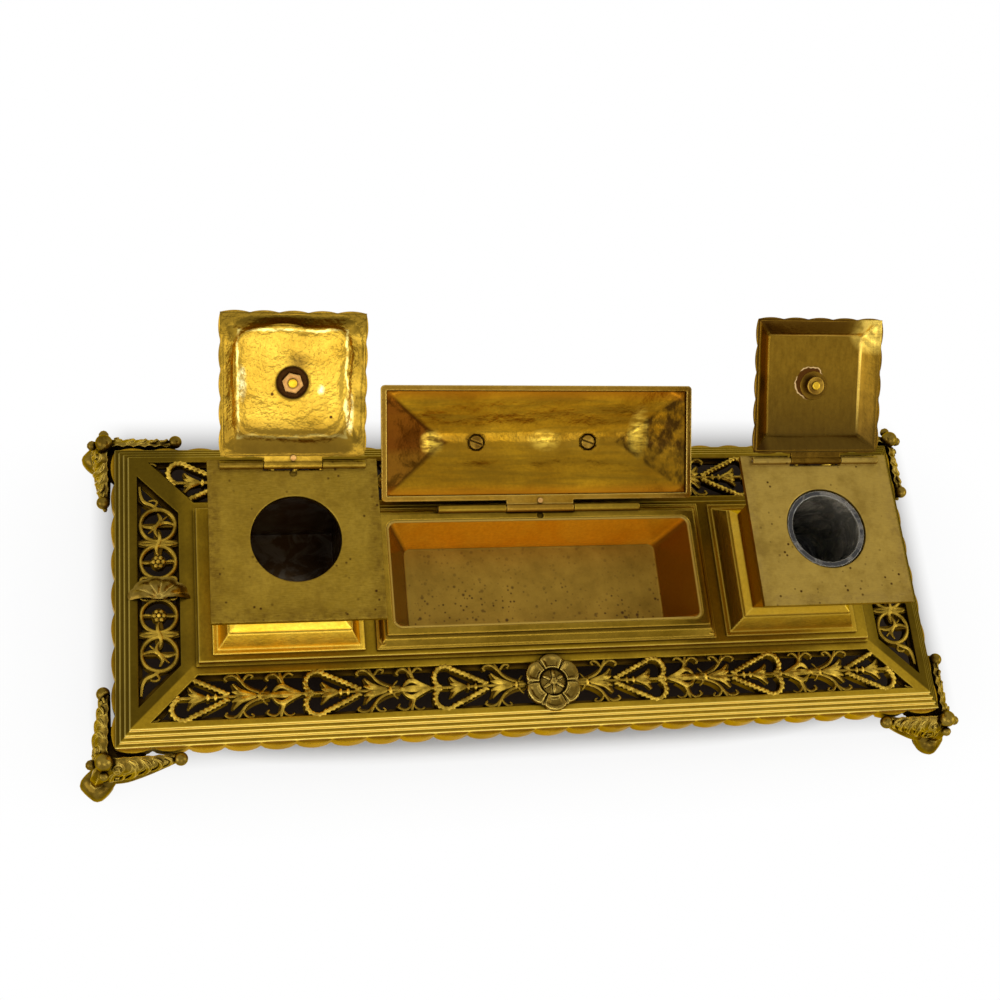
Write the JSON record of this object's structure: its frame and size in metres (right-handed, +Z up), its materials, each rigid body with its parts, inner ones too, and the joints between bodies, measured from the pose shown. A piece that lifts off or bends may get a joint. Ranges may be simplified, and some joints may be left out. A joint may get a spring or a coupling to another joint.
{
  "type": "desk inkstand",
  "caption": "Brass desk inkstand: a pierced deck on cast feet carries square ink wells with hinged lids and a lidded stamp box between them.",
  "frame": {"origin": "middle of the four feet's footprint on the table, under the centre of the deck", "axes": "+X to the right along the deck, -Y to the front, +Z up"},
  "size_m": [0.3332, 0.1391, 0.1151],
  "materials": {
    "stand_brass": "gilt brass, polished on the reeds and browned in the hollows",
    "fret_brass": "pierced and chased gilt brass, dark at the edges of the openings",
    "ornament_brass": "cast and burnished gilt brass",
    "box_brass": "moulded brass with brown patina",
    "tray_brass": "amber lacquered brass, stained on the floor",
    "lid_brass": "bright brass, lightly hammered inside",
    "fixing_brass": "dull brown brass",
    "copper": "reddish copper",
    "pin_steel": "drawn steel wire",
    "liner_glass": "clear moulded glass"
  },
  "bodies": {
    "root": {"base_frame": "stand_brass", "skirt": "stand_brass", "plinth": "stand_brass", "foot_front_left": "stand_brass", "foot_front_right": "stand_brass", "foot_rear_left": "stand_brass", "foot_rear_right": "stand_brass", "front_fretwork": "fret_brass", "rear_fretwork": "fret_brass", "left_fretwork": "fret_brass", "right_fretwork": "fret_brass", "front_rosette": "ornament_brass", "rear_rosette": "ornament_brass", "left_boss": "ornament_brass", "right_boss": "ornament_brass", "stamp_box_body": "box_brass", "left_well_body": "box_brass", "right_well_body": "box_brass", "left_well_plate": "box_brass", "right_well_plate": "box_brass", "stamp_tray": "tray_brass", "ornament_nuts": "fixing_brass", "foot_screws": "fixing_brass", "stamp_box_screws": "fixing_brass", "well_screws": "fixing_brass", "stamp_hinge_pin": "pin_steel", "left_hinge_pin": "pin_steel", "right_hinge_pin": "pin_steel", "right_glass_liner": "liner_glass"},
    "left_lid": {"left_lid": "lid_brass", "left_finial": "ornament_brass", "left_finial_nut": "copper", "left_hinge_rivet": "copper"},
    "right_lid": {"right_lid": "lid_brass", "right_finial": "ornament_brass", "right_finial_nut": "fixing_brass"},
    "stamp_lid": {"stamp_lid": "lid_brass", "stamp_handle": "ornament_brass", "stamp_handle_screws": "fixing_brass", "stamp_hinge_rivet": "copper"}
  },
  "joints": [
    {"name": "left_lid_hinge", "type": "hinge", "parent": "root", "child": "left_lid", "pos_m": [-0.095, 0.0262, 0.0849], "axis": [1, 0, 0], "range_deg": [0, 145]},
    {"name": "right_lid_hinge", "type": "hinge", "parent": "root", "child": "right_lid", "pos_m": [0.095, 0.0262, 0.0849], "axis": [1, 0, 0], "range_deg": [0, 151]},
    {"name": "stamp_lid_hinge", "type": "hinge", "parent": "root", "child": "stamp_lid", "pos_m": [0, 0.0245, 0.0459], "axis": [1, 0, 0], "range_deg": [0, 155]}
  ]
}
